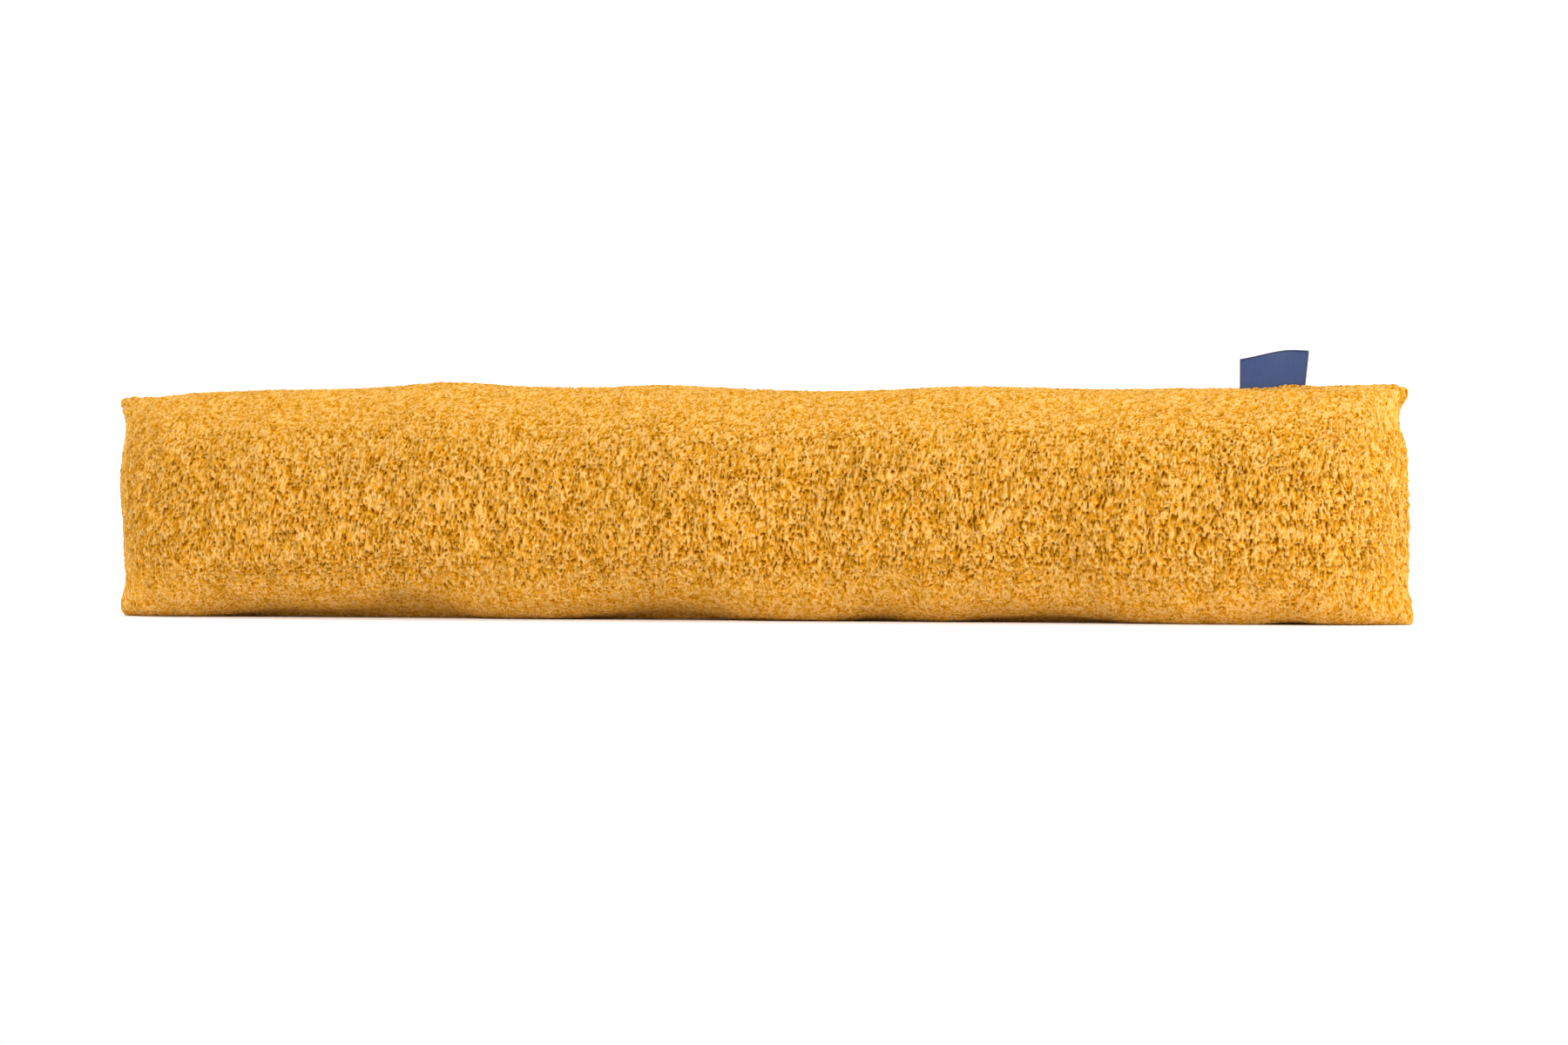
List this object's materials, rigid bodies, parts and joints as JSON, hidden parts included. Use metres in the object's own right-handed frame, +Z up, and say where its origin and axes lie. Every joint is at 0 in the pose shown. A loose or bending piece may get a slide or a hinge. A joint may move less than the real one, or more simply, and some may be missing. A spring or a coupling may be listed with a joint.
{
  "type": "draught excluder",
  "caption": "Long filled fleece draught excluder that stands on its long lower side, with crowned sides, small flat corner ears and a folded ribbon label in the top seam.",
  "frame": {"origin": "middle of the footprint, on the floor under the long lower side", "axes": "+X along the length towards the end with the label, -Y is the front, +Z up"},
  "size_m": [0.9009, 0.1084, 0.1759],
  "materials": {
    "teddy_fleece": "deep pile teddy fleece, mustard yellow, matt",
    "satin_ribbon": "navy satin ribbon, soft sheen"
  },
  "bodies": {
    "root": {"filled_cover": "teddy_fleece", "ribbon_label": "satin_ribbon"}
  },
  "joints": []
}
